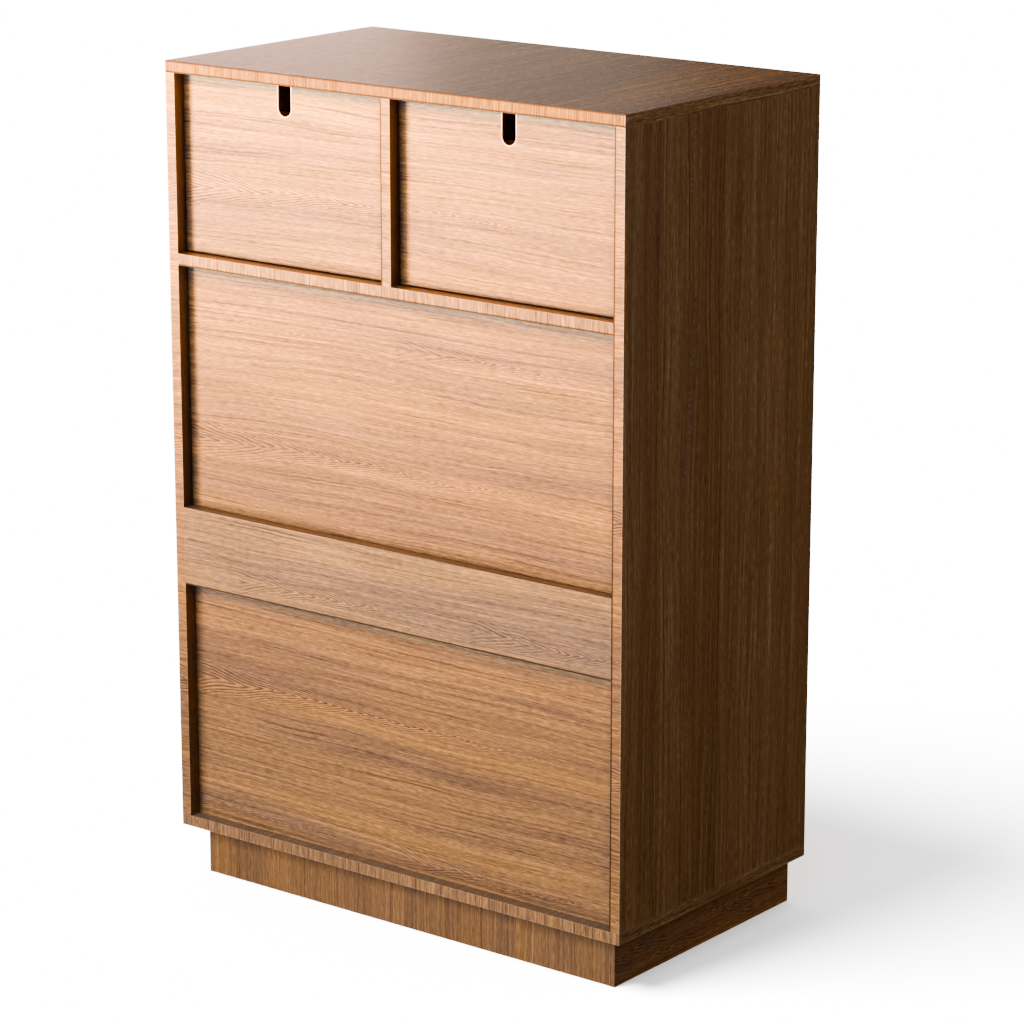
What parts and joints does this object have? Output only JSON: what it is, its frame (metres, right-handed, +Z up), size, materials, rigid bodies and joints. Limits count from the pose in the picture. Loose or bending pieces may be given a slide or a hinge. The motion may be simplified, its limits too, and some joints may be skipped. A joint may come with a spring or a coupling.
{
  "type": "dresser",
  "caption": "Tall wood-veneered dresser: drawers in a boarded carcass on a recessed mitred plinth, with a finished back that has a cross rail and cable slots.",
  "frame": {"origin": "on the floor, under the middle of the dresser's overall box", "axes": "+Z up, -Y towards the drawer fronts, +Y towards the back, +X to the right of someone who faces the drawers"},
  "size_m": [0.9, 0.508, 1.359],
  "materials": {
    "veneer_top": "satin walnut-brown veneer",
    "veneer_upright": "satin walnut-brown veneer",
    "veneer_back": "satin walnut-brown veneer",
    "veneer_plinth": "satin walnut-brown veneer",
    "veneer_front": "satin walnut-brown veneer",
    "birch_ply": "clear-lacquered birch plywood",
    "hardwood": "waxed beech"
  },
  "bodies": {
    "carcass": {"top_panel": "veneer_top", "bottom_panel": "veneer_upright", "side_panel_left": "veneer_upright", "side_panel_right": "veneer_upright", "upper_shelf": "veneer_upright", "centre_divider": "veneer_upright", "back_panel_main": "veneer_back", "back_panel_upper_left": "veneer_back", "back_panel_upper_right": "veneer_back", "back_rail": "veneer_back", "front_rail_under_top_drawer": "veneer_upright", "front_rail_under_middle_drawer": "veneer_upright", "plinth_front": "veneer_plinth", "plinth_right": "veneer_plinth", "plinth_back": "veneer_plinth", "plinth_left": "veneer_plinth", "corner_block_front_left": "hardwood", "corner_block_front_right": "hardwood", "corner_block_back_right": "hardwood", "corner_block_back_left": "hardwood", "small_drawer_left_runner_left": "hardwood", "small_drawer_left_runner_right": "hardwood", "small_drawer_right_runner_left": "hardwood", "small_drawer_right_runner_right": "hardwood", "wide_drawer_top_runner_left": "hardwood", "wide_drawer_top_runner_right": "hardwood", "wide_drawer_middle_runner_left": "hardwood", "wide_drawer_middle_runner_right": "hardwood", "wide_drawer_bottom_runner_left": "hardwood", "wide_drawer_bottom_runner_right": "hardwood"},
    "small_drawer_left": {"small_drawer_left_front": "veneer_front", "small_drawer_left_side_left": "birch_ply", "small_drawer_left_side_right": "birch_ply", "small_drawer_left_bottom": "birch_ply", "small_drawer_left_back": "birch_ply"},
    "small_drawer_right": {"small_drawer_right_front": "veneer_front", "small_drawer_right_side_left": "birch_ply", "small_drawer_right_side_right": "birch_ply", "small_drawer_right_bottom": "birch_ply", "small_drawer_right_back": "birch_ply"},
    "wide_drawer_top": {"wide_drawer_top_front": "veneer_front", "wide_drawer_top_side_left": "birch_ply", "wide_drawer_top_side_right": "birch_ply", "wide_drawer_top_bottom": "birch_ply", "wide_drawer_top_back": "birch_ply", "wide_drawer_top_bottom_bar": "hardwood"},
    "wide_drawer_middle": {"wide_drawer_middle_front": "veneer_front", "wide_drawer_middle_side_left": "birch_ply", "wide_drawer_middle_side_right": "birch_ply", "wide_drawer_middle_bottom": "birch_ply", "wide_drawer_middle_back": "birch_ply", "wide_drawer_middle_bottom_bar": "hardwood"},
    "wide_drawer_bottom": {"wide_drawer_bottom_front": "veneer_front", "wide_drawer_bottom_side_left": "birch_ply", "wide_drawer_bottom_side_right": "birch_ply", "wide_drawer_bottom_bottom": "birch_ply", "wide_drawer_bottom_back": "birch_ply", "wide_drawer_bottom_bottom_bar": "hardwood"}
  },
  "joints": [
    {"name": "small_drawer_left_slide", "type": "slide", "parent": "carcass", "child": "small_drawer_left", "axis": [0, -1, 0], "range_m": [0, 0.32]},
    {"name": "small_drawer_right_slide", "type": "slide", "parent": "carcass", "child": "small_drawer_right", "axis": [0, -1, 0], "range_m": [0, 0.32]},
    {"name": "wide_drawer_top_slide", "type": "slide", "parent": "carcass", "child": "wide_drawer_top", "axis": [0, -1, 0], "range_m": [0, 0.32]},
    {"name": "wide_drawer_middle_slide", "type": "slide", "parent": "carcass", "child": "wide_drawer_middle", "axis": [0, -1, 0], "range_m": [0, 0.32]},
    {"name": "wide_drawer_bottom_slide", "type": "slide", "parent": "carcass", "child": "wide_drawer_bottom", "axis": [0, -1, 0], "range_m": [0, 0.32]}
  ]
}
